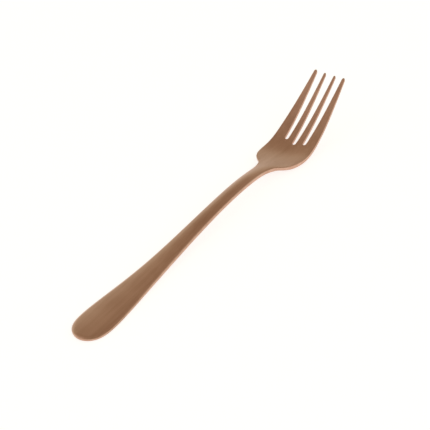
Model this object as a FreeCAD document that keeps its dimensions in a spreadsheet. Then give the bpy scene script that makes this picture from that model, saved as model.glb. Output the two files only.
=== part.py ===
import FreeCAD, Part
import math
import os
import Sketcher
from FreeCAD import Vector

# A four-tine table fork, blanked from one strip of stainless steel, coined thick at the neck
# and bent over a former. It lies on its back: +X runs from the handle's end to the tine tips,
# +Y is across, +Z is up. The origin is under the middle of the fork, on the table.

doc = FreeCAD.newDocument("table_fork")

# ---- driving dimensions, in millimetres ------------------------------------------------------
sheet = doc.addObject("Spreadsheet::Sheet", "sizes")
row = 0


def size(alias, value):
    """One row of the sheet: the alias in column A, its number in column B."""
    global row
    row += 1
    sheet.set("A%d" % row, alias)
    sheet.set("B%d" % row, str(value))
    sheet.setAlias("B%d" % row, alias)


# The side view, as control points of the curves of the face and of the back: how far along,
# the height of the back, the thickness, and how far the face falls (or, in the dished head,
# rises) from the middle to the blank's edge.
SIDE_VIEW = {
    "butt":   (-104.0, -0.12, 2.15, 1.0),
    "grip":   (-78.0, -0.12, 2.45, 1.0),
    "shank":  (-52.0, 0.10, 2.60, 1.1),
    "rise":   (-22.0, 2.55, 3.05, 1.2),
    "arch":   (6.0, 4.50, 3.60, 1.4),
    "neck":   (28.0, 4.45, 3.90, 0.4),
    "throat": (43.0, 1.30, 3.10, -0.6),
    "heel":   (56.0, -1.20, 2.40, -0.9),
    "palm":   (68.0, 3.10, 2.45, -0.9),
    "tine":   (83.0, 10.80, 2.40, -0.9),
    "tip":    (101.5, 24.35, 1.60, -0.9),
}
for place, (along, under, thick, fall) in SIDE_VIEW.items():
    size(place + "_along", along)
    size(place + "_under", under)
    size(place + "_thick", thick)
    size(place + "_fall", fall)

# The plan view, as control points of one curve from the handle's end to the tip of an outer tine.
OUTLINE = {
    "end": (-100.0, 0.0), "crown": (-100.0, 3.4), "round": (-96.0, 9.1), "broad": (-87.0, 10.35),
    "taper": (-73.0, 9.2), "slim": (-51.0, 6.2), "stem": (-22.0, 4.25), "slender": (5.0, 3.3),
    "waist": (25.0, 3.2), "hollow": (36.0, 2.8), "flare": (40.5, 4.5), "turn": (42.5, 5.2),
    "shoulder": (45.0, 10.1), "corner": (50.0, 12.6), "head": (58.0, 13.1), "side": (68.0, 12.6),
    "flank": (79.0, 11.8), "edge": (90.0, 10.6), "point": (101.5, 9.5),
}
for name, (along, out) in OUTLINE.items():
    size(name + "_at", along)
    size(name + "_out", out)

# The strip that the fork is cut from, and how far the cutting sketches reach past it.
size("blank_half_width", 14.0)
size("cut_half_width", 16.0)
size("cut_reach", 106.0)
size("cut_height", 100.0)

# The gaps between the tines. Far and near are where a gap's sides are across, at gap_reach.
size("gap_reach", 104.0)
size("centre_gap_root", 63.3)
size("centre_gap_radius", 1.15)
size("centre_gap_far", 2.73)
size("outer_gap_root", 64.8)
size("outer_gap_radius", 1.15)
size("outer_gap_centre", 5.77)
size("outer_gap_near", 3.50)
size("outer_gap_far", 8.36)

# The tine tips, the edges, and the flat that the handle rests on.
size("tip_reach", 100.0)
size("outer_tip_centre", 8.93)
size("outer_tip_radius", 0.86)
size("inner_tip_centre", 3.10)
size("inner_tip_radius", 0.66)
size("rim_round", 0.6)
size("gap_bevel", 0.25)
size("rest_depth", 5.0)
doc.recompute()

# ---- the fork --------------------------------------------------------------------------------
body = doc.addObject("PartDesign::Body", "fork")
body.Label = "fork"


def value(formula):
    """The number that a formula on the sheet's aliases gives."""
    return float(sheet.evalExpression(formula.replace("sizes.", "")))


def plane(role):
    """The body's own origin plane of that name."""
    return [item for item in body.Origin.OriginFeatures if item.Role == role][0]


def sketch_on(role, name):
    """An empty sketch on one of the body's origin planes."""
    sketch = body.newObject("Sketcher::SketchObject", name)
    sketch.AttachmentSupport = [(plane(role), "")]
    sketch.MapMode = "FlatFace"
    return sketch


def bind(sketch, kind, refs, name, formula):
    """A named driving constraint whose value comes from the sheet."""
    index = sketch.addConstraint(Sketcher.Constraint(kind, *refs, value(formula)))
    sketch.renameConstraint(index, name)
    sketch.setExpression("Constraints." + name, formula)


def hold(sketch, kind, *edges):
    """The same plain constraint on each of several lines."""
    for edge in edges:
        sketch.addConstraint(Sketcher.Constraint(kind, edge))


def spline(sketch, poles):
    """A clamped cubic curve; each pole is a name and the formulas of its two coordinates."""
    start = [Vector(value(x), value(y), 0) for _, x, y in poles]
    spans = len(poles) - 3
    curve = Part.BSplineCurve(start, [4] + [1] * (spans - 1) + [4], list(range(spans + 1)), False, 3)
    edge = sketch.addGeometry(curve)
    sketch.exposeInternalGeometry(edge)
    for number, (name, x, y) in enumerate(poles):
        bind(sketch, "DistanceX", (-1, 1, edge + 1 + number, 3), name + "_x", x)
        bind(sketch, "DistanceY", (-1, 1, edge + 1 + number, 3), name + "_y", y)
    return edge


def line(sketch, first, last):
    """A straight line between two (x, y) points, still free to move."""
    return sketch.addGeometry(Part.LineSegment(Vector(*first, 0), Vector(*last, 0)))


def join(sketch, *ends):
    """Coincident ends, given in pairs of (geometry, end)."""
    for (one, one_end), (other, other_end) in zip(ends[::2], ends[1::2]):
        sketch.addConstraint(Sketcher.Constraint("Coincident", one, one_end, other, other_end))


def bridge(sketch, one, other, end):
    """A straight line that joins the same end of two curves."""
    first = sketch.getPoint(one, end)
    last = sketch.getPoint(other, end)
    edge = line(sketch, (first.x, first.y), (last.x, last.y))
    join(sketch, (edge, 1), (one, end), (edge, 2), (other, end))


# The side view, drawn three times across the blank: at both edges and down the middle.
def side_profile(name, across, share):
    """The side view at the given offset; share is 1 at the blank's edges and 0 in the middle."""
    sketch = sketch_on("XZ_Plane", name)
    sketch.setExpression("AttachmentOffset.Base.z", across)
    face = []
    back = []
    for place in SIDE_VIEW:
        along = "sizes.%s_along" % place
        height = "sizes.%s_under" % place
        fall = "%d * sizes.%s_fall" % (share, place)
        face.append((place + "_top", along, "%s + sizes.%s_thick - %s" % (height, place, fall)))
        back.append((place + "_low", along, "%s - min(%s; 0)" % (height, fall)))
    upper = spline(sketch, face)
    lower = spline(sketch, back)
    bridge(sketch, lower, upper, 1)
    bridge(sketch, lower, upper, 2)
    return sketch


profiles = [
    side_profile("right_profile", "-sizes.blank_half_width", 1),
    side_profile("middle_profile", "0 mm", 0),
    side_profile("left_profile", "sizes.blank_half_width", 1),
]
doc.recompute()
blank = body.newObject("PartDesign::AdditiveLoft", "blank")
blank.Profile = profiles[0]
blank.Sections = [(profile, [""]) for profile in profiles[1:]]
blank.Ruled = False
doc.recompute()


def facet_volume(shape):
    """The volume inside a mesh of the shape: the sum of the tetrahedra from the origin."""
    points, facets = shape.tessellate(0.1)
    return sum(points[a].dot(points[b].cross(points[c])) for a, b, c in facets) / 6


def pocket(name, sketch, through=True):
    """Cuts a sketch through the fork, or from the table down, and tests that it cut something."""
    before = facet_volume(body.Shape)
    cut = body.newObject("PartDesign::Pocket", name)
    cut.Profile = sketch
    cut.Type = "Length"
    cut.SideType = "Symmetric" if through else "One side"
    cut.setExpression("Length", "sizes.cut_height" if through else "sizes.rest_depth")
    cut.Refine = False
    doc.recompute()
    assert facet_volume(cut.Shape) < before, name + " cut nothing"
    return cut


def mirrored(name, *cuts):
    """Repeats cuts on the other side of the fork's middle."""
    both = body.newObject("PartDesign::Mirrored", name)
    both.Originals = list(cuts)
    both.MirrorPlane = (plane("XZ_Plane"), [""])
    both.Refine = False
    body.Tip = both
    doc.recompute()


# The plan outline: everything outside this half of it is blanked away.
outline = sketch_on("XY_Plane", "outline")
edge = spline(outline, [(name, "sizes.%s_at" % name, "sizes.%s_out" % name) for name in OUTLINE])
reach = value("sizes.cut_reach")
width = value("sizes.cut_half_width")
tine_end = line(outline, OUTLINE["point"], (reach, OUTLINE["point"][1]))
front = line(outline, (reach, OUTLINE["point"][1]), (reach, width))
side = line(outline, (reach, width), (-reach, width))
back = line(outline, (-reach, width), (-reach, 0))
middle = line(outline, (-reach, 0), OUTLINE["end"])
join(outline, (edge, 2), (tine_end, 1), (tine_end, 2), (front, 1), (front, 2), (side, 1),
     (side, 2), (back, 1), (back, 2), (middle, 1), (middle, 2), (edge, 1))
hold(outline, "Vertical", front, back)
hold(outline, "Horizontal", tine_end, side, middle)
bind(outline, "DistanceX", (-1, 1, front, 1), "front_reach", "sizes.cut_reach")
bind(outline, "DistanceX", (-1, 1, back, 1), "back_reach", "-sizes.cut_reach")
bind(outline, "DistanceY", (-1, 1, side, 1), "side_reach", "sizes.cut_half_width")
blanking = pocket("blanking", outline)


# The gaps between the tines, each with a round root and straight sides that open to the tips.
def gap(name, centre, far, near):
    """A gap's sketch: the arc of its root, two straight sides that leave it smoothly, a mouth."""
    sketch = sketch_on("XY_Plane", name)
    along = "sizes.%s_root + sizes.%s_radius" % (name, name)
    x, y = value(along), value(centre)
    radius = value("sizes.%s_radius" % name)
    mouth_at = value("sizes.gap_reach")
    circle = Part.Circle(Vector(x, y, 0), Vector(0, 0, 1), radius)
    root = sketch.addGeometry(Part.ArcOfCircle(circle, math.pi / 2, 3 * math.pi / 2))
    bind(sketch, "Radius", (root,), "root_radius", "sizes.%s_radius" % name)
    bind(sketch, "DistanceX", (-1, 1, root, 3), "root_along", along)
    bind(sketch, "DistanceY", (-1, 1, root, 3), "root_across", centre)
    far_side = line(sketch, (x, y + radius), (mouth_at, value(far)))
    near_side = line(sketch, (x, y - radius), (mouth_at, value(near)))
    for end, side, which, across in ((1, far_side, "far", far), (2, near_side, "near", near)):
        sketch.addConstraint(Sketcher.Constraint("Tangent", root, end, side, 1))
        bind(sketch, "DistanceX", (-1, 1, side, 2), which + "_reach", "sizes.gap_reach")
        bind(sketch, "DistanceY", (-1, 1, side, 2), which + "_across", across)
    bridge(sketch, near_side, far_side, 2)
    return sketch


outer_gap = gap("outer_gap", "sizes.outer_gap_centre", "sizes.outer_gap_far", "sizes.outer_gap_near")
outer_slot = pocket("outer_slot", outer_gap)
mirrored("both_sides", blanking, outer_slot)
centre_gap = gap("centre_gap", "0 mm", "sizes.centre_gap_far", "-sizes.centre_gap_far")
pocket("centre_slot", centre_gap)


def soften(kind, name, setting, amount, wanted):
    """Rounds or bevels the edges of the body that pass the test, by a size of the sheet."""
    base = body.Tip
    edges = ["Edge%d" % (number + 1) for number, edge in enumerate(base.Shape.Edges) if wanted(edge)]
    softened = body.newObject("PartDesign::" + kind, name)
    softened.Base = (base, edges)
    softened.setExpression(setting, amount)
    softened.Refine = False
    doc.recompute()


def of_the_outline(edge):
    """True for the edges that run the whole length of the fork."""
    return edge.Length > value("sizes.cut_reach")


def of_a_gap(edge):
    """True for the top and bottom edges of the gaps: between the roots and the tips, not upright."""
    upright = abs(edge.tangentAt(edge.FirstParameter).z) > 0.9
    along = edge.CenterOfMass.x
    return value("sizes.centre_gap_root") < along < value("sizes.tip_reach") and not upright


# The outside edges are rolled round, and the edges between the tines only broken.
soften("Fillet", "rim_edges", "Radius", "sizes.rim_round", of_the_outline)
soften("Chamfer", "gap_edges", "Size", "sizes.gap_bevel", of_a_gap)

# The tine tips are rounded in plan: each tine is cut off round an arc.
tips = sketch_on("XY_Plane", "tips")
for name in ("outer_tip", "inner_tip"):
    across = "sizes.%s_centre" % name
    along = "sizes.tip_reach - sizes.%s_radius" % name
    x, y = value(along), value(across)
    radius = value("sizes.%s_radius" % name)
    beyond = value("sizes.gap_reach")
    circle = Part.Circle(Vector(x, y, 0), Vector(0, 0, 1), radius)
    nose = tips.addGeometry(Part.ArcOfCircle(circle, -math.pi / 2, math.pi / 2))
    bind(tips, "Radius", (nose,), name + "_radius", "sizes.%s_radius" % name)
    bind(tips, "DistanceX", (-1, 1, nose, 3), name + "_along", along)
    bind(tips, "DistanceY", (-1, 1, nose, 3), name + "_across", across)
    near_side = line(tips, (x, y - radius), (beyond, y - radius))
    far_side = line(tips, (x, y + radius), (beyond, y + radius))
    join(tips, (nose, 1), (near_side, 1), (nose, 2), (far_side, 1))
    hold(tips, "Horizontal", near_side, far_side)
    bridge(tips, near_side, far_side, 2)
    bind(tips, "DistanceX", (-1, 1, near_side, 2), name + "_near_reach", "sizes.gap_reach")
    bind(tips, "DistanceX", (-1, 1, far_side, 2), name + "_far_reach", "sizes.gap_reach")
mirrored("both_tips", pocket("tip_cut", tips))

# The back of the handle's end is flat, which is what the fork rests on.
rest = sketch_on("XY_Plane", "rest")
corners = [(-reach, -width), (0, -width), (0, width), (-reach, width)]
sides = [line(rest, corners[k - 1], corners[k]) for k in range(4)]
join(rest, *[end for k in range(4) for end in ((sides[k - 1], 2), (sides[k], 1))])
hold(rest, "Vertical", sides[0], sides[2])
hold(rest, "Horizontal", sides[1], sides[3])
bind(rest, "DistanceX", (-1, 1, sides[0], 1), "rest_back", "-sizes.cut_reach")
bind(rest, "DistanceY", (-1, 1, sides[1], 1), "rest_right", "-sizes.cut_half_width")
bind(rest, "DistanceY", (-1, 1, sides[3], 1), "rest_left", "sizes.cut_half_width")
rest.addConstraint(Sketcher.Constraint("PointOnObject", sides[2], 1, -2))
pocket("flat", rest, through=False)

# ---- checks and the file --------------------------------------------------------------------
for item in doc.Objects:
    failed = [state for state in item.State if state in ("Invalid", "Error")]
    assert not failed, item.Name + " failed"
shape = body.Shape
assert not shape.isNull() and shape.isValid() and len(shape.Solids) == 1, "fork is not one solid"

os.makedirs("parts", exist_ok=True)
shape.exportStep("parts/%s.step" % body.Label)
print("%s: %d faces, %.0f mm3" % (body.Label, len(shape.Faces), facet_volume(shape)))
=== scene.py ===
import bmesh
import bpy
import numpy as np
from mathutils import Matrix, Vector


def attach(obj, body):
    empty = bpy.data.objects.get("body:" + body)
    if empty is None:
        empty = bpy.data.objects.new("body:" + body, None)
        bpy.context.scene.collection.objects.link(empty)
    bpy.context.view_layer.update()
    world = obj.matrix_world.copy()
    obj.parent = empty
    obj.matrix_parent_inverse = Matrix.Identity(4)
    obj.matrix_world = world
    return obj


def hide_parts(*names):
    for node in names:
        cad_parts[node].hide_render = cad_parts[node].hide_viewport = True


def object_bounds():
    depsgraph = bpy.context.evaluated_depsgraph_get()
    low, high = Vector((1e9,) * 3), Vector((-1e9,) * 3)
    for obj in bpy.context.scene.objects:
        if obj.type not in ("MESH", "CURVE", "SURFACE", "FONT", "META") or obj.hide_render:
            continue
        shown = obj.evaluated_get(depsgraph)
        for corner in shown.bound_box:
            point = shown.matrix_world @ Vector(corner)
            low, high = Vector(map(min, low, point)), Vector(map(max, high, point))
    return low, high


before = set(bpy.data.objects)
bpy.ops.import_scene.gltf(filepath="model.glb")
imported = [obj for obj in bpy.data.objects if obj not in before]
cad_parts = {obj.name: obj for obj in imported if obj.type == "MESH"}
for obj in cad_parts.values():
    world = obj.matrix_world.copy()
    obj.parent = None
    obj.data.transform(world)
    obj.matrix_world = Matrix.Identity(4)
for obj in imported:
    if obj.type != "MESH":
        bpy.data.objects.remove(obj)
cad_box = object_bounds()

# ---- the fork --------------------------------------------------------------------------------
# One piece of stainless steel. A blank is cut from strip with its tine gaps, coined thick at the
# neck and crowned along the handle, bent over a former, tumbled until its edges are round,
# brushed to a satin and coated copper colour in a vacuum. It lies on the backs of its handle and
# its palm.
MM = 0.001
TIP = cad_box[1][0] / MM  # how far the tine tips reach from the middle of the fork

# Side view: how far along, the height of the back and the thickness, down the fork's middle.
SIDE_VIEW = np.array([
    (-104.0, 0.00, 2.03), (-78.0, 0.00, 2.33), (-52.0, 0.10, 2.60), (-22.0, 2.60, 3.00),
    (6.0, 4.60, 3.50), (28.0, 4.60, 3.70), (43.0, 1.65, 2.55), (58.5, -1.30, 1.70),
    (69.5, 3.40, 1.70), (83.0, 10.70, 1.75), (101.5, 24.10, 1.30),
])
# Cross view: how strongly the face is crowned (plus) or dished (minus), and how strongly the back
# lifts towards its edges, each as one over the radius of the curve.
CROSS_VIEW = np.array([
    (-104.0, 0.013, 0.000), (-70.0, 0.017, 0.000), (-45.0, 0.032, 0.004), (-15.0, 0.085, 0.040),
    (10.0, 0.150, 0.085), (27.0, 0.170, 0.095), (36.0, 0.100, 0.050), (41.0, 0.010, 0.012),
    (46.0, -0.010, 0.009), (56.0, -0.012, 0.010), (80.0, -0.009, 0.009), (104.0, -0.009, 0.009),
])
# Edges: how far in and how far down the face rounds over into the wall, and the radius where the
# wall turns into the back. The handle is rolled over softly, and the neck and head are crisper.
EDGE_VIEW = np.array([
    (-104.0, 2.00, 0.85, 0.60), (-60.0, 1.90, 0.85, 0.65), (-20.0, 1.10, 0.75, 0.75),
    (10.0, 0.45, 0.45, 0.80), (42.0, 0.38, 0.38, 0.70), (55.0, 0.36, 0.36, 0.60),
    (75.0, 0.34, 0.34, 0.50), (104.0, 0.30, 0.30, 0.38),
])
# Plan view of the left side, from the middle of the handle's end to the tip of the outer tine.
OUTLINE = [
    (-100.0, 0.0), (-100.0, 3.4), (-96.3, 9.3), (-87.0, 10.6), (-73.0, 9.25), (-51.0, 6.4),
    (-22.0, 4.65), (5.0, 3.9), (25.0, 3.9), (36.0, 3.4), (40.5, 5.1), (42.5, 5.7), (45.0, 10.4),
    (50.0, 12.9), (58.0, 13.4), (68.0, 12.9), (79.0, 12.05), (90.0, 10.85), (101.5, 9.7),
]
# Tine gaps: where the round root starts, its radius, its middle, and where the gap's two straight
# sides are across, at GAP_REACH along.
OUTER_GAP = {"root": 65.0, "radius": 1.0, "middle": 5.80, "near": 3.70, "far": 8.20}
CENTRE_GAP = {"root": 63.5, "radius": 1.0, "middle": 0.0, "near": -2.55, "far": 2.55}
GAP_REACH = 104.0


def spline(poles, count):
    """A clamped cubic B-spline with evenly spaced knots, at evenly spaced parameters, by de
    Boor's rule: four neighbouring control points are blended three times, each time by how far
    the parameter lies between two knots."""
    poles = np.asarray(poles, float)
    spans = len(poles) - 3
    knots = np.concatenate([[0.0] * 3, np.arange(spans + 1.0), [float(spans)] * 3])
    place = np.linspace(0.0, spans, count)
    span = np.minimum(place.astype(int), spans - 1) + 3
    points = [poles[span - 3 + k] for k in range(4)]
    for level in (1, 2, 3):
        for k in range(3, level - 1, -1):
            low, high = knots[span - 3 + k], knots[span + 1 + k - level]
            share = ((place - low) / (high - low))[:, None]
            points[k] = (1 - share) * points[k - 1] + share * points[k]
    return points[3]


VIEW_POINTS, FLANK_POINTS = 4000, 8000  # fine enough that straight lines between them don't show
back_line = spline(SIDE_VIEW[:, [0, 1]], VIEW_POINTS)
face_poles = np.column_stack([SIDE_VIEW[:, 0], SIDE_VIEW[:, 1] + SIDE_VIEW[:, 2]])
face_line = spline(face_poles, VIEW_POINTS)
cross_line = spline(CROSS_VIEW, VIEW_POINTS)
edge_line = spline(EDGE_VIEW, VIEW_POINTS)


def face_height(plan):
    """Height of the face at plan points: the side view's upper line, less half the crown's
    curvature times the square of the distance from the middle."""
    crown = np.interp(plan[..., 0], cross_line[:, 0], cross_line[:, 1])
    return np.interp(plan[..., 0], face_line[:, 0], face_line[:, 1]) - crown * plan[..., 1] ** 2 / 2


def back_height(plan):
    """Height of the back at plan points: the side view's lower line, plus half the lift's
    curvature times the square of the distance from the middle."""
    lift = np.interp(plan[..., 0], cross_line[:, 0], cross_line[:, 2])
    return np.interp(plan[..., 0], back_line[:, 0], back_line[:, 1]) + lift * plan[..., 1] ** 2 / 2


flank = spline(OUTLINE, FLANK_POINTS)
flank_way = np.gradient(flank, axis=0)
flank_out = np.column_stack([-flank_way[:, 1], flank_way[:, 0]])
flank_out /= np.linalg.norm(flank_out, axis=1)[:, None]
flank_out[0] = (-1.0, 0.0)
flank_length = np.concatenate([[0.0], np.cumsum(np.linalg.norm(np.diff(flank, axis=0), axis=1))])


def along_flank(key, places):
    """Points of the flank and its outward directions, read off at places of a rising key."""
    point = np.column_stack([np.interp(places, key, flank[:, k]) for k in (0, 1)])
    out = np.column_stack([np.interp(places, key, flank_out[:, k]) for k in (0, 1)])
    return point, out / np.linalg.norm(out, axis=1)[:, None]


def round_run(centre, radius, first, last, steps, hollow=False):
    """An arc between two angles, with its outward directions: away from the centre, or towards
    it where the arc bounds a gap."""
    angles = np.linspace(first, last, steps + 1)
    away = np.column_stack([np.cos(angles), np.sin(angles)])
    return centre + radius * away, -away if hollow else away


def facing(direction):
    """The angle of a direction in plan."""
    return np.arctan2(direction[1], direction[0])


def gap_side(gap, side, turn):
    """The angle at which a gap's straight side leaves its round root: a line from a far point
    touches a circle where the cosine of the angle from the line of centres is the radius over
    the distance. Gives the centre too."""
    centre = np.array([gap["root"] + gap["radius"], gap["middle"]])
    reach = np.array([GAP_REACH, gap[side]]) - centre
    swing = np.arccos(gap["radius"] / np.hypot(*reach))
    return centre, facing(reach) + turn * swing


def tip_circle(sides):
    """The circle that rounds a tine's tip. It touches two straight sides, each a point and an
    outward direction, and the line across the tips: its centre is one radius inside all three."""
    rows = [(out[0] - 1.0, -out[1]) for _, out in sides]
    radius, middle = np.linalg.solve(rows, [out[0] * TIP - out @ point for point, out in sides])
    return np.array([TIP - radius, middle]), radius


# Steps of the mesh: along the handle, the palm and a tine, round half a tip, round a gap's root,
# across a tine, round an edge and down a wall.
HANDLE, PALM, TINE, NOSE, ROOT, ACROSS, ROUND, WALL = 190, 26, 72, 7, 16, 8, 8, 3
PALM_START = 52.0
# The handle's rows fan round a point this far inside its end, and the fan dies out over this length.
FAN_INSIDE, FAN_FADE = 7.0, 8.0
# Rows across the head are spaced partly by the length of the edge and partly by the width.
BY_LENGTH, BY_WIDTH = 0.6, 0.4

outer_root, far_angle = gap_side(OUTER_GAP, "far", 1)
outer_root, near_angle = gap_side(OUTER_GAP, "near", -1)
centre_root, half_angle = gap_side(CENTRE_GAP, "far", 1)
outer_arc = round_run(outer_root, OUTER_GAP["radius"], far_angle, near_angle + 2 * np.pi, ROOT, True)
centre_arc = round_run(centre_root, CENTRE_GAP["radius"], half_angle, np.pi, ROOT // 2, True)
far_start, far_out = outer_arc[0][0], outer_arc[1][0]
near_start, near_out = outer_arc[0][-1], outer_arc[1][-1]
half_start, half_out = centre_arc[0][0], centre_arc[1][0]

last_point, last_out = along_flank(flank[:, 0], [TIP])
outer_tip, outer_radius = tip_circle([(last_point[0], last_out[0]), (far_start, far_out)])
inner_tip, inner_radius = tip_circle([(near_start, near_out), (half_start, half_out)])
outer_nose = round_run(outer_tip, outer_radius, facing(last_out[0]), facing(far_out), 2 * NOSE)
inner_nose = round_run(inner_tip, inner_radius, facing(near_out), facing(half_out), 2 * NOSE)


def straight_run(first, last, out):
    """Even steps between two points, all with the same outward direction."""
    share = np.linspace(0.0, 1.0, TINE + 1)[:, None]
    return first + (last - first) * share, np.repeat(out[None, :], TINE + 1, axis=0)


# The edge of the left half, walked round from the middle of the handle's end to the root of the
# centre gap, as runs that each share their end points with the next.
palm_length = np.interp(PALM_START, flank[:, 0], flank_length)
nose_start = outer_nose[0][0]
runs = {
    "handle": along_flank(flank_length, np.linspace(0.0, palm_length, HANDLE + 1)),
    "palm": along_flank(flank[:, 0], np.linspace(PALM_START, far_start[0], PALM + 1)),
    "flank": along_flank(flank[:, 0], np.linspace(far_start[0], nose_start[0], TINE + 1)),
    "outer_nose": outer_nose,
    "far": straight_run(outer_nose[0][-1], far_start, far_out),
    "outer_root": outer_arc,
    "near": straight_run(near_start, inner_nose[0][0], near_out),
    "inner_nose": inner_nose,
    "half": straight_run(inner_nose[0][-1], half_start, half_out),
    "centre_root": centre_arc,
}
edge = np.vstack([run[0] for run in runs.values()])
outward = np.vstack([run[1] for run in runs.values()])
ends = np.cumsum([0] + [len(run[0]) for run in runs.values()])
face_in, face_down, back_round = [
    np.interp(edge[:, 0], edge_line[:, 0], edge_line[:, k])[:, None] for k in (1, 2, 3)]


def spread(first, last, shares):
    """Rows of points between two runs: each row is its first point plus shares of the way."""
    return first[:, None, :] + (last - first)[:, None, :] * shares[None, :, None]


def sheet_of(inset, height):
    """The face or the back inside its rounded edge, as grids of points. The handle's rows run
    from the edge to the middle and fan round a point near its end. The palm blends its first
    row into the row along the gaps' roots, and adds what the flank departs from a straight
    line. Each tine is spread between its two sides, and its nose between the halves of its
    arc."""
    run = {name: inset[ends[k]:ends[k + 1]] for k, name in enumerate(runs)}
    even = np.linspace(0.0, 1.0, ACROSS + 1)
    outer = spread(run["flank"], run["far"][::-1], even)
    inner = spread(run["near"], run["half"][::-1], even)
    root_row = np.vstack([outer[0], run["outer_root"][1:], inner[0][1:], run["centre_root"][1:]])
    steps = np.concatenate([[0.0], np.cumsum(np.linalg.norm(np.diff(root_row, axis=0), axis=1))])
    shares = BY_LENGTH * steps / steps[-1] + BY_WIDTH * (1 - root_row[:, 1] / root_row[0, 1])
    fan = run["handle"][:, 0] + FAN_INSIDE * np.exp(-(run["handle"][:, 0] + TIP) / FAN_FADE)
    handle = spread(run["handle"], np.column_stack([fan, 0 * fan]), shares)
    way = np.linspace(0.0, 1.0, PALM + 1)[:, None]
    chord = (1 - way) * run["palm"][0] + way * run["palm"][-1]
    palm = (1 - way[:, :, None]) * handle[-1] + way[:, :, None] * root_row
    palm = palm + (run["palm"] - chord)[:, None, :] * (1 - shares)[None, :, None]
    grids = [handle, palm, outer, inner]
    for nose in (run["outer_nose"], run["inner_nose"]):
        grids.append(spread(nose[:NOSE + 1], nose[:NOSE - 1:-1], even))
    return [np.dstack([grid, height(grid)]) for grid in grids]


def quarter(inward, deep, height, sign, angles):
    """A quarter of an ellipse round the edge: at angle a a point is 1 - sin a times the ellipse's
    width inside the outline, and 1 - cos a times its depth below the face or above the back."""
    plan = edge[:, None, :] - (outward * inward)[:, None, :] * (1 - np.sin(angles))[:, None]
    return np.dstack([plan, height(plan) - sign * deep * (1 - np.cos(angles))])


def rolled_edge():
    """The edge from the face to the back: two quarters of an ellipse and a straight wall."""
    swing = np.linspace(0.0, np.pi / 2, ROUND + 1)
    upper = quarter(face_in, face_down, face_height, 1, swing)
    lower = quarter(back_round, back_round, back_height, -1, swing[::-1])
    way = np.linspace(0.0, 1.0, WALL + 1)[1:-1, None]
    wall = upper[:, -1:, :] + (lower[:, :1, :] - upper[:, -1:, :]) * way
    return np.concatenate([upper, wall, lower], axis=1)


def half_of_the_fork():
    """All the grids of the left half: face, back and edge."""
    face = sheet_of(edge - outward * face_in, face_height)
    back = sheet_of(edge - outward * back_round, back_height)
    return face + back + [rolled_edge()]


def quads(rows, columns, start):
    """The corner numbers of a grid's squares, when its points are numbered from start."""
    number = start + np.arange(rows * columns).reshape(rows, columns)
    corners = (number[:-1, :-1], number[1:, :-1], number[1:, 1:], number[:-1, 1:])
    return np.stack(corners, axis=-1).reshape(-1, 4)


SAME_POINT = 0.002 * MM  # points of two grids closer than this are one point
grids = half_of_the_fork()
rubbed = [np.zeros(grid.shape[:2]) for grid in grids]
rubbed[-1] += np.sin(np.linspace(0.0, np.pi, grids[-1].shape[1]))
grids += [grid * (1.0, -1.0, 1.0) for grid in grids]
rubbed += rubbed
starts = np.cumsum([0] + [grid.shape[0] * grid.shape[1] for grid in grids])
points = np.vstack([grid.reshape(-1, 3) for grid in grids]) * MM
faces = np.vstack([quads(*grid.shape[:2], start) for grid, start in zip(grids, starts)])
fork_mesh = bpy.data.meshes.new("fork")
fork_mesh.from_pydata(points.tolist(), [], faces.tolist())
# How much handling rubs each place: nothing on the broad faces, most in the middle of the edge.
rub_map = fork_mesh.attributes.new("rubbed", "FLOAT", "POINT")
rub_map.data.foreach_set("value", np.concatenate([part.ravel() for part in rubbed]))
work = bmesh.new()
work.from_mesh(fork_mesh)
bmesh.ops.remove_doubles(work, verts=work.verts, dist=SAME_POINT)
bmesh.ops.recalc_face_normals(work, faces=work.faces)
work.to_mesh(fork_mesh)
work.free()
fork_mesh.shade_smooth()
fork = bpy.data.objects.new("table_fork", fork_mesh)
bpy.context.scene.collection.objects.link(fork)

# The fork's long direction, kept as a flat map: along the fork one way, and width plus a share of
# the rise the other. The rise is added so that an upright wall isn't squeezed to a line.
UP_SHARE = 0.7
grain_map = fork_mesh.uv_layers.new(name="grain")
corner_of = np.empty(len(fork_mesh.loops), dtype=np.int32)
fork_mesh.loops.foreach_get("vertex_index", corner_of)
place = np.empty(len(fork_mesh.vertices) * 3)
fork_mesh.vertices.foreach_get("co", place)
place = place.reshape(-1, 3)[corner_of]
flat = np.column_stack([place[:, 0], place[:, 1] + UP_SHARE * place[:, 2]]) / (2 * TIP * MM) + 0.5
grain_map.data.foreach_set("uv", flat.ravel())


def linear(colour):
    """An sRGB hex colour as linear red, green, blue and alpha."""
    part = np.array([int(colour[k:k + 2], 16) / 255 for k in (1, 3, 5)])
    part = np.where(part <= 0.04045, part / 12.92, ((part + 0.055) / 1.055) ** 2.4)
    return (*part.tolist(), 1.0)


def add_node(tree, kind, settings=None, links=None, **inputs):
    """Adds a node, sets its own settings and its inputs' values, and links other sockets in. An
    input is called by its name, or by its number where several share a name."""
    node = tree.nodes.new(kind)
    for name, setting in (settings or {}).items():
        setattr(node, name, setting)
    for name, value in inputs.items():
        node.inputs[name.replace("_", " ")].default_value = value
    for name, socket in (links or {}).items():
        tree.links.new(socket, node.inputs[name])
    return node


def streak_noise(tree, place, length, width, **inputs):
    """Noise in streaks of this length along the fork and this width across it, in millimetres:
    each coordinate is divided by its own size before the noise is read."""
    scale = (1 / (length * MM), 1 / (width * MM), 1 / (width * MM))
    stretch = add_node(tree, "ShaderNodeMapping", links={"Vector": place}, Scale=scale)
    return add_node(tree, "ShaderNodeTexNoise", links={"Vector": stretch.outputs["Vector"]},
                    Scale=1.0, **inputs)


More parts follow.
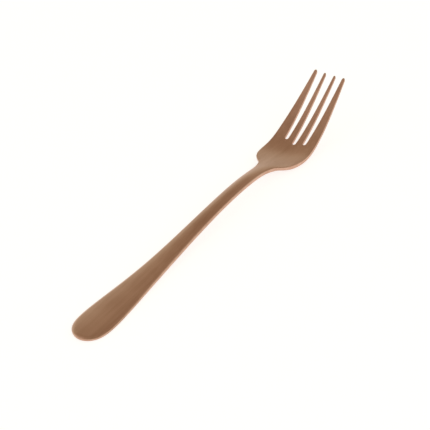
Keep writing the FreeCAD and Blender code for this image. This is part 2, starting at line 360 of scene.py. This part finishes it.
def blend(tree, kind, share, first, second):
    """A blend of two colours or two numbers, and gives the result's socket. The share, the first
    and the second are each a plain value or another node's socket."""
    places = {"FLOAT": (0, 2, 3, 0), "RGBA": (0, 6, 7, 2)}[kind]
    node = add_node(tree, "ShaderNodeMix", {"data_type": kind})
    for number, given in zip(places, (share, first, second)):
        if isinstance(given, bpy.types.NodeSocket):
            tree.links.new(given, node.inputs[number])
        else:
            node.inputs[number].default_value = given
    return node.outputs[places[3]]


def copper_satin():
    """Satin-brushed stainless steel with a copper-coloured vacuum coating. It gives
    the eye a warm brown mirror with a soft blur, which is a little longer along the fork."""
    finish = bpy.data.materials.new("satin_copper_coated_steel")
    finish.use_nodes = True
    tree = finish.node_tree
    tree.nodes.clear()
    place = add_node(tree, "ShaderNodeTexCoord").outputs["Object"]

    # The belt leaves lines about 0.05 mm wide and 15 mm long. Those are too fine to show, so they
    # are drawn 0.5 mm wide. They give the eye a soft streaky sheen along the fork.
    lines = streak_noise(tree, place, 15.0, 0.5, Detail=3.0, Roughness=0.6)
    # The passes of the belt overlap in bands about 2.5 mm wide and 60 mm long, a little darker or
    # paler than each other.
    bands = streak_noise(tree, place, 60.0, 2.5, Detail=2.0)
    # The coating's colour drifts over patches about 18 mm across, from browner to pinker copper.
    cloud = add_node(tree, "ShaderNodeTexNoise", links={"Vector": place}, Scale=1 / (18.0 * MM), Detail=2.0)
    streaks = blend(tree, "FLOAT", 0.5, lines.outputs["Fac"], bands.outputs["Fac"])
    drift = blend(tree, "FLOAT", 0.4, streaks, cloud.outputs["Fac"])
    tint = add_node(tree, "ShaderNodeValToRGB", links={"Fac": drift})
    browner, pinker = tint.color_ramp.elements
    browner.position, browner.color = 0.35, linear("#BB907A")
    pinker.position, pinker.color = 0.65, linear("#D0A691")

    # Handling has rubbed the edges: in spots about 3 mm long the coating is thinner there, paler
    # and smoother, so the rim catches the light.
    rubbed = add_node(tree, "ShaderNodeAttribute", {"attribute_name": "rubbed"}).outputs["Fac"]
    spots = add_node(tree, "ShaderNodeTexNoise", links={"Vector": place}, Scale=1 / (3.0 * MM), Detail=2.0)
    patchy = add_node(tree, "ShaderNodeMapRange", links={"Value": spots.outputs["Fac"]},
                      From_Min=0.35, From_Max=0.7, To_Min=0.1, To_Max=0.6)
    wear = add_node(tree, "ShaderNodeMath", {"operation": "MULTIPLY"},
                    {0: rubbed, 1: patchy.outputs["Result"]}).outputs["Value"]
    worn = blend(tree, "RGBA", wear, tint.outputs["Color"], linear("#DDB7A3"))
    rough = add_node(tree, "ShaderNodeMapRange", links={"Value": lines.outputs["Fac"]},
                     To_Min=0.26, To_Max=0.40)
    smooth = blend(tree, "FLOAT", wear, rough.outputs["Result"], 0.22)
    bump = add_node(tree, "ShaderNodeBump", links={"Height": lines.outputs["Fac"]},
                    Strength=0.3, Distance=0.02 * MM)
    tangent = add_node(tree, "ShaderNodeTangent", {"direction_type": "UV_MAP", "uv_map": "grain"})
    shader = add_node(tree, "ShaderNodeBsdfPrincipled", Metallic=1.0, Anisotropic=0.35, links={
        "Base Color": worn, "Roughness": smooth,
        "Normal": bump.outputs["Normal"], "Tangent": tangent.outputs["Tangent"]})
    add_node(tree, "ShaderNodeOutputMaterial", links={"Surface": shader.outputs["BSDF"]})
    return finish


fork_mesh.materials.append(copper_satin())
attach(fork, "root")
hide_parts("fork")

# ---- the table and the light -----------------------------------------------------------------
# A plain white light table, far larger than the fork. Its top is opal acrylic lit from below, so
# the fork casts next to no shadow. Two weak soft lamps stand left and right of it, in a pale room
# that is brighter low down than at its ceiling.
floor_mesh = bpy.data.meshes.new("table_top")
side = 4.0  # metres from the middle of the table to each of its sides
top = cad_box[0][2]
floor_mesh.from_pydata([(-side, -side, top), (side, -side, top), (side, side, top), (-side, side, top)],
                       [], [(0, 1, 2, 3)])
table = bpy.data.objects.new("table_top", floor_mesh)
bpy.context.scene.collection.objects.link(table)
# Opal acrylic, cast and left matt, gives the eye an even white without a shine.
acrylic = bpy.data.materials.new("white_opal_acrylic")
acrylic.use_nodes = True
opal = acrylic.node_tree.nodes["Principled BSDF"].inputs
opal["Base Color"].default_value = linear("#BEBEBE")
opal["Roughness"].default_value = 0.9
opal["Emission Color"].default_value = linear("#FFFFFF")
opal["Emission Strength"].default_value = 0.74
floor_mesh.materials.append(acrylic)

room = bpy.data.worlds.new("room")
room.use_nodes = True
air = room.node_tree
towards = add_node(air, "ShaderNodeTexCoord").outputs["Generated"]
rise = add_node(air, "ShaderNodeSeparateXYZ", links={"Vector": towards}).outputs["Z"]
walls = add_node(air, "ShaderNodeValToRGB", links={"Fac": rise})
for place, colour in ((0.20, "#DAE3DA"), (0.42, "#D8DECD"), (0.60, "#B4AB95"), (0.80, "#A69A85")):
    stop = walls.color_ramp.elements.new(place)
    stop.color = linear(colour)
walls.color_ramp.elements[0].color = linear("#FAFFFD")
walls.color_ramp.elements[-1].color = linear("#A69A85")
air.nodes["Background"].inputs["Strength"].default_value = 1.1
air.links.new(walls.outputs["Color"], air.nodes["Background"].inputs["Color"])
bpy.context.scene.world = room


def lamp(name, place, size, power):
    """A square soft lamp that points at the fork."""
    light = bpy.data.lights.new(name, "AREA")
    light.size = size
    light.energy = power
    light.color = linear("#F4F9FF")[:3]
    holder = bpy.data.objects.new(name, light)
    aim = Vector((0.0, 0.0, 0.0)) - Vector(place)
    facing_fork = aim.to_track_quat("-Z", "Y").to_matrix().to_4x4()
    holder.matrix_world = Matrix.Translation(place) @ facing_fork
    bpy.context.scene.collection.objects.link(holder)


lamp("left_lamp", (-0.7, 0.65, 0.85), 1.0, 0.9)
lamp("right_lamp", (0.2, -1.2, 0.9), 1.2, 2.0)
bpy.context.scene.view_settings.view_transform = "Standard"

# ---- the camera ------------------------------------------------------------------------------
# It looks down along the fork from the handle's right, turned a little on its own axis.
AZIMUTH, ELEVATION, ROLL = np.radians([42.68, 37.96, -11.80])
DISTANCE = 0.7087
LOOK_AT = np.array([0.0, 0.0, 0.005])
ahead = np.array([np.sin(AZIMUTH), np.cos(AZIMUTH), 0.0])
away = np.array([0.0, 0.0, np.sin(ELEVATION)]) - np.cos(ELEVATION) * ahead
level = np.array([np.cos(AZIMUTH), -np.sin(AZIMUTH), 0.0])
upright = np.cross(away, level)
right = np.cos(ROLL) * level + np.sin(ROLL) * upright
up = np.cos(ROLL) * upright - np.sin(ROLL) * level
view = bpy.data.cameras.new("camera")
view.sensor_width = 36.0
view.lens = 120.2
view.shift_x = 0.0008
view.shift_y = -0.0127
view.clip_start = 0.01
camera = bpy.data.objects.new("camera", view)
turn = Matrix([right.tolist(), up.tolist(), away.tolist()]).transposed().to_4x4()
camera.matrix_world = Matrix.Translation((LOOK_AT + DISTANCE * away).tolist()) @ turn
bpy.context.scene.collection.objects.link(camera)
bpy.context.scene.camera = camera

bpy.context.view_layer.update()
